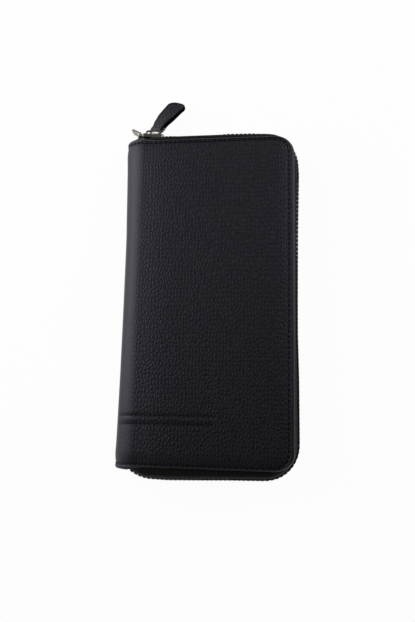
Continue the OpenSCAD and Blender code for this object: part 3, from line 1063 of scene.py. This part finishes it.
# Along the upper end the teeth stand out of the tape in two places
teethOut = [(-36, 0.6), (-24, 0.6), (-18, 0), (2, 0), (11, 0.7), (27, 0.7), (34, 0)]
lowerSway = [(-50, 0.2), (-30, 1.0), (-20, 1.3), (0, 0.7), (14, 0.2), (34, -0.2), (50, 0.2)]
sideSway = [
    (-95, 0.5), (-80, 0.7), (-45, 0.5), (-20, -0.1), (0, -0.1), (40, 0.15), (76, 0.8), (88, 0.2), (98, 0),
]
swayOver = 10  # length over which a sway sets in past a corner


def swayZip(bm, upper):
    for v in bm.verts:
        v.co.x += between(v.co.y, sideSway) * ease((v.co.x - cornerX) / swayOver)
        v.co.y -= between(v.co.x, lowerSway) * ease((-v.co.y - cornerY) / swayOver)
        v.co.y += between(v.co.x, upper) * ease((v.co.y - cornerY) / swayOver)


# Zip tapes: upright beside the teeth, bulging out, then sewn flat under the leather
tape = {
    "edge": 1.9,
    "straight": 3.0,
    "bulge": 3.4,
    "bulgeTurn": math.pi / 16,
    "flange": 10,
    "flangeMiddle": 6,
    "thick": 0.5,
    # Steps of each run: upper end, corner, free edge, lower end, and the turn into the spine
    "upperSteps": 24,
    "cornerSteps": 14,
    "sideSteps": 48,
    "lowerSteps": 18,
    "spineSteps": 8,
    # Where the ends narrow, past the spine's fold and past the last turn's start, and how far in
    "startPast": 3,
    "startOver": 4,
    "endPast": 7,
    "endOver": 7,
    "narrowBy": 0.9,
}


def makeTape(node, up):
    low, high = boxOf(node)
    half = tape["thick"] / 2
    flangeZ = (high.z if up > 0 else topZ - low.z) - midZ - half
    turnZ = tape["straight"]
    # Outer face of the tape, from the teeth over the bulge to the sewn flange: distance outwards and height
    section = [(half, tape["edge"]), (half, turnZ)]
    for angle in steps(tape["bulgeTurn"], math.pi / 2, tape["bulgeTurn"]):
        outwards = (tape["bulge"] + half) * math.cos(angle) - tape["bulge"]
        section.append((outwards, turnZ + (flangeZ - turnZ + half) * math.sin(angle)))
    section += [(-tape["flangeMiddle"], flangeZ + half), (-tape["flange"], flangeZ + half)]
    bm = bmesh.new()
    spots = [bm.verts.new((low.x, zipLine["y"] + n, midZ + up * z)) for n, z in section]
    run = spots + [bm.edges.new(pair) for pair in zip(spots, spots[1:])]

    def go(run, dx, dy, count):
        move = Vector((dx, dy, 0)) / count
        return bmesh.ops.spin(
            bm, geom=run, cent=(0, 0, 0), axis=(0, 0, 1), dvec=move, angle=0, steps=count
        )["geom_last"]

    def turn(run, x, y, angle, count):
        return bmesh.ops.spin(
            bm, geom=run, cent=(x, y, midZ), axis=(0, 0, 1), dvec=(0, 0, 0), angle=angle, steps=count
        )["geom_last"]

    run = go(run, cornerX - low.x, 0, tape["upperSteps"])
    run = turn(run, cornerX, cornerY, -math.pi / 2, tape["cornerSteps"])
    run = go(run, 0, -2 * cornerY, tape["sideSteps"])
    run = turn(run, cornerX, -cornerY, -math.pi / 2, tape["cornerSteps"])
    run = go(run, zipLine["turnX"] - cornerX, 0, tape["lowerSteps"])
    turn(run, endCentre.x, endCentre.y, -zipLine["endTurn"], tape["spineSteps"])
    # Near its two ends the tape is cut narrower, down to the strip that carries the teeth
    fullFrom = foldX - zipLine["startX"] + tape["startPast"]
    fullTo = runEnds[4] + tape["endPast"]
    for v in bm.verts:
        s = zipDistance(v.co.x, v.co.y)
        narrow = max(ease((fullFrom - s) / tape["startOver"]), ease((s - fullTo) / tape["endOver"]))
        if up * (v.co.z - midZ) > turnZ and narrow > 0:
            place = zipAt(s)[0] if s > 0 else Vector((v.co.x, zipLine["y"]))
            v.co = v.co.lerp(Vector((place.x, place.y, midZ + up * turnZ)), tape["narrowBy"] * narrow)
    faceOut(bm)
    bmesh.ops.solidify(bm, geom=bm.faces[:], thickness=tape["thick"])

    def placeOnTape(co):
        s = zipDistance(co.x, co.y)
        depth = (zipAt(max(0, s))[0] - co.xy).length
        return s, abs(co.z - midZ) + depth

    keepFlat(bm, placeOnTape)
    swayZip(bm, upperSway)
    faceOut(bm)
    piece = rideNode(newPiece(node + "_woven", bm, herringboneTape, sharpPast["sheet"]), node)


def makeToothShape():
    bm = bmesh.new()
    outline = tooth["outline"] + [(-x, z) for x, z in reversed(tooth["outline"])]
    spots = [bm.verts.new((x, -tooth["thick"] / 2, z)) for x, z in outline]
    face = bm.faces.new(spots)
    grown = bmesh.ops.extrude_face_region(bm, geom=[face], use_keep_orig=True)["geom"]
    moved = [part for part in grown if isinstance(part, bmesh.types.BMVert)]
    bmesh.ops.translate(bm, vec=(0, tooth["thick"], 0), verts=moved)
    faceOut(bm)
    ends = [e for e in bm.edges if abs(e.verts[0].co.y - e.verts[1].co.y) < cutting["sameFace"]]
    roundOff(bm, ends, tooth["round"], tooth["roundSides"], clamp=True)
    return newMesh("toothShape", bm)


def makeTeeth(node, start, up, shape):
    bm = bmesh.new()
    count = math.floor((runEnds[5] - start - tooth["endClear"]) / tooth["pitch"])
    for i in range(count + 1):
        s = start + i * tooth["pitch"]
        place, heading = zipAt(s)
        past = s - (zipLine["slider"] - zipLine["startX"])
        lift = tooth["partBy"] * min(1, max(0, (tooth["partFrom"] - past) / tooth["partOver"]))
        seat = Matrix.Translation((place.x, place.y, midZ + up * lift)) @ Matrix.Rotation(heading, 4, "Z")
        addCopy(bm, shape, seat @ Matrix.Diagonal((1, 1, up, 1)))
    swayZip(bm, [(x, out + between(x, upperSway)) for x, out in teethOut])
    faceOut(bm)
    rideNode(newPiece(node + "_row", bm, blackLacquer, sharpPast["layer"]), node)


makeTape("front_zip_tape", 1)
makeTape("back_zip_tape", -1)
toothShape = makeToothShape()
makeTeeth("front_zip_teeth", 0, 1, toothShape)
makeTeeth("back_zip_teeth", tooth["pitch"] / 2, -1, toothShape)
bpy.data.meshes.remove(toothShape)
print("main zip ready")

makeMetal({
    "zip_end_clip": ("_folded", 0.35, 2),
    "zip_end_stop": ("_clamped", 0.3, 2),
    "slider_body": ("_cast", 0.3, 3),
    "slider_bail": ("_cast", 0.35, 3),
})

# The pull's own frame: x from the bail to the tab's eye, y along both hinge pins
ringAt = Vector(joints["ring_swing"]["pos_m"]) / mm
eyeAt = Vector(joints["tab_swing"]["pos_m"]) / mm
pullX = (eyeAt - ringAt).normalized()
pullY = -Vector(joints["ring_swing"]["axis"]).normalized()
pullZ = pullX.cross(pullY)
pullFrame = Matrix.Translation(ringAt) @ Matrix((pullX, pullY, pullZ)).transposed().to_4x4()
ring = {
    "wire": 0.68, "long": (eyeAt - ringAt).length, "near": 3.3, "far": 5.3, "flare": 3.6, "round": 1.0,
    "cornerSides": 5, "wireRound": 5,
}


def makeRing():
    half = [(0, ring["near"]), (ring["flare"], ring["far"]), (ring["long"], ring["far"])]
    outline = half + [(x, -y) for x, y in reversed(half)]
    bm = bmesh.new()
    bm.faces.new([bm.verts.new((x, y, 0)) for x, y in outline])
    roundOff(bm, bm.verts[:], ring["round"], ring["cornerSides"], "VERTICES")
    bm.faces.ensure_lookup_table()
    line = [pullFrame @ v.co * mm for v in bm.faces[0].verts]
    bm.free()
    curve = bpy.data.curves.new("ringWire", "CURVE")
    curve.dimensions = "3D"
    curve.bevel_depth = ring["wire"] * mm
    curve.bevel_resolution = ring["wireRound"]
    wire = curve.splines.new("POLY")
    wire.points.add(len(line) - 1)
    for point, place in zip(wire.points, line):
        point.co = (*place, 1)
    wire.use_cyclic_u = True
    holder = bpy.data.objects.new("ringHolder", curve)
    mesh = bpy.data.meshes.new_from_object(holder)
    bpy.data.objects.remove(holder)
    mesh.name = "pull_ring_wire"
    mesh.materials.clear()
    mesh.materials.append(antiqueNickel)
    mesh.shade_smooth()
    piece = bpy.data.objects.new("pull_ring_wire", mesh)
    bpy.context.scene.collection.objects.link(piece)
    rideNode(piece, "pull_ring")


# Pull tab: one strap folded round the ring's bar and sewn to itself, wider and twisted towards its tip
tab = {
    "eye": 1.8,
    "long": 21.8,
    "wide": 8.7,
    "flare": [(0, 1.0), (9.6, 1.287)],
    "twist": math.radians(22),
    "slant": 0.26,
    "lean": [(0, 0), (2.5, 0.8), (8, 0.7), (15, 0.1), (21.8, -0.9)],
    "loose": 1.8,
    "corner": 3.4,
    # Painted shade on the strap's cut edges: they shine less, by distance from the edge
    "paintedShade": [(0, 1), (0.15, 0.9), (0.5, 0)],
    "allRound": True,
    "thick": 1.12,
    "smoothRim": 0.8,
    "rings": [
        (0, -0.5), (0.12, -0.25), (0.4, -0.06), (0.8, 0), (1.15, -0.06), (1.35, -0.1), (1.6, -0.04),
        (2.4, 0.06),
    ],
    # Half thickness along the folded strap, and where and how close its two layers meet
    "closing": [(0, 1.8), (4, 1.66), (21.8, 1.62)],
    "closeOver": 3,
    "closeGap": 0.03,
    # Ripples: height, lengths along and across, the noise's slice, and where they set in
    "wave": 0.16,
    "waveLong": 5,
    "waveWide": 4,
    "waveSlice": 3.7,
    "waveFrom": 5,
    "endClear": 2.6,
    "longCut": 0.8,
    "sideReach": 1.8,
    "wideCut": 0.9,
}
tab["width"] = 2 * tab["long"] + math.pi * tab["eye"]
tab["length"] = tab["wide"]
tabStitch = {
    "pitch": 2.0, "long": 1.6, "thick": 0.34, "slant": 4, "inset": 1.35, "height": -0.02, "eyeClear": 3.5,
}


def placeOnTab(point):
    past = max(0, abs(point.x) - math.pi * tab["eye"] / 2)
    half = between(past, tab["closing"])
    if isUpper(point, tab):
        at = Vector((point.x / tab["waveLong"], point.y / tab["waveWide"], tab["waveSlice"]))
        ripple = tab["wave"] * noise.noise(at) * ease(past / tab["waveFrom"])
        deep = point.z + half - tab["eye"] + ripple
    else:
        room = tab["eye"] - tab["thick"] - tab["closeGap"]
        deep = -tab["thick"] - ease(past / tab["closeOver"]) * room
    wide = point.y * between(past, tab["flare"]) + between(past, tab["lean"])
    flat = foldOver(Vector((point.x, wide, deep)), tab["eye"], 0, 0)
    flat.x *= tab["loose"] if flat.x < 0 else 1
    flat.x -= tab["slant"] * wide * (past / tab["long"]) ** 2
    turned = Matrix.Rotation(tab["twist"] * past / tab["long"], 3, "X") @ flat
    return pullFrame @ (turned + Vector((ring["long"], 0, 0)))


def makeTab():
    reach, side = tab["width"] / 2 - tab["endClear"], tab["sideReach"]
    bm = flatPanel(tab, steps(-reach, reach, tab["longCut"]), steps(-side, side, tab["wideCut"]))
    thickenPanel(bm, tab)
    for v in bm.verts:
        v.co = placeOnTab(v.co)
    faceOut(bm)
    rideNode(newPiece("pull_tab_strap", bm, pebbledLeather, sharpPast["layer"]), "pull_tab")
    stitches = bmesh.new()
    for place, heading in edgeWalk(tab, tabStitch["inset"], tabStitch["pitch"]):
        if abs(place.x) > math.pi * tab["eye"] / 2 + tabStitch["eyeClear"]:
            addStitch(stitches, Vector((place.x, place.y, tabStitch["height"])), heading, tabStitch)
    for v in stitches.verts:
        v.co = placeOnTab(v.co)
    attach(threadPiece("pull_tab_stitching", stitches), bodyOf["pull_tab"])


makeRing()
makeTab()
bpy.data.meshes.remove(stitchShape)
print("slider and pull ready")


# White table top in a low white screen: the camera, mirrors and glass see both white, and the
# table keeps some of the shadow
floor = {
    "radius": 3000, "sides": 64, "drop": 0.03, "screen": 1200, "paint": "#fcfcfc", "rough": 0.9, "lit": 0.04,
}


def makeFloor():
    bm = bmesh.new()
    bmesh.ops.create_circle(bm, cap_ends=True, segments=floor["sides"], radius=floor["radius"])
    sides = bmesh.ops.extrude_edge_only(bm, edges=bm.edges[:])["geom"]
    risen = [part for part in sides if isinstance(part, bmesh.types.BMVert)]
    bmesh.ops.translate(bm, vec=(0, 0, floor["screen"]), verts=risen)
    bmesh.ops.translate(bm, vec=(0, 0, -floor["drop"]), verts=bm.verts)
    paint = {"Base Color": hexColour(floor["paint"]), "Roughness": floor["rough"]}
    material, tree, shader = newMaterial("whiteTable", paint)
    rays = addNode(tree, "ShaderNodeLightPath", {})
    seen = addNode(
        tree, "ShaderNodeMath", {"operation": "MAXIMUM"},
        {0: rays.outputs["Is Camera Ray"], 1: rays.outputs["Is Glossy Ray"]},
    )
    through = addNode(
        tree, "ShaderNodeMath", {"operation": "MAXIMUM"},
        {0: seen.outputs[0], 1: rays.outputs["Is Transmission Ray"]},
    )
    share = addNode(
        tree, "ShaderNodeMath", {"operation": "MULTIPLY", 1: 1 - floor["lit"]}, {0: through.outputs[0]}
    )
    glow = addNode(tree, "ShaderNodeEmission", {"Color": (1, 1, 1, 1), "Strength": 1.0})
    mixed = addNode(
        tree, "ShaderNodeMixShader", {}, {0: share.outputs[0], 1: shader.outputs[0], 2: glow.outputs[0]}
    )
    plugIn(tree, tree.nodes["Material Output"], {"Surface": mixed.outputs[0]})
    newPiece("table_top", bm, material, sharpPast["plain"])


# Soft boxes: place and target in mm, width, and radiance where 1 is white
lamps = {
    "overBox": {"at": (20, 470, 700), "target": (20, 470, 0), "wide": 840, "radiance": 0.16},
    "leftBox": {"at": (-600, 230, 370), "target": (-50, 120, 12), "wide": 680, "radiance": 3.5},
    "rightBox": {"at": (510, 350, 440), "target": (40, 100, 12), "wide": 520, "radiance": 2.8},
}
# The dark room above the screen
surround = {"level": 0.01}


def makeLights():
    for name, lamp in lamps.items():
        light = bpy.data.lights.new(name, "AREA")
        light.shape = "SQUARE"
        light.size = lamp["wide"] * mm
        light.energy = lamp["radiance"] * math.pi * light.size ** 2
        holder = bpy.data.objects.new(name, light)
        holder.location = Vector(lamp["at"]) * mm
        aim = Vector(lamp["target"]) - Vector(lamp["at"])
        holder.rotation_euler = aim.to_track_quat("-Z", "Y").to_euler()
        bpy.context.scene.collection.objects.link(holder)
    world = bpy.data.worlds.new("studio")
    world.use_nodes = True
    background = world.node_tree.nodes["Background"]
    background.inputs["Color"].default_value = (1, 1, 1, 1)
    background.inputs["Strength"].default_value = surround["level"]
    bpy.context.scene.world = world


# The photograph's camera: it stands above the lower part of the wallet. Focal length and frame in pixels
camera = {
    "at": (43.2, -54.55, 348.7), "turn": (8.245, 7.094, 1.097), "focal": 574, "frameLong": 622, "sensor": 36,
    "nearest": 10,
}


def makeCamera():
    lens = bpy.data.cameras.new("photoCamera")
    lens.sensor_width = camera["sensor"]
    lens.lens = camera["sensor"] * camera["focal"] / camera["frameLong"]
    lens.clip_start = camera["nearest"] * mm
    holder = bpy.data.objects.new("photoCamera", lens)
    holder.location = Vector(camera["at"]) * mm
    holder.rotation_euler = [math.radians(angle) for angle in camera["turn"]]
    bpy.context.scene.collection.objects.link(holder)
    bpy.context.scene.camera = holder


makeFloor()
makeLights()
makeCamera()
bpy.context.scene.view_settings.view_transform = "Standard"
print("stage ready")
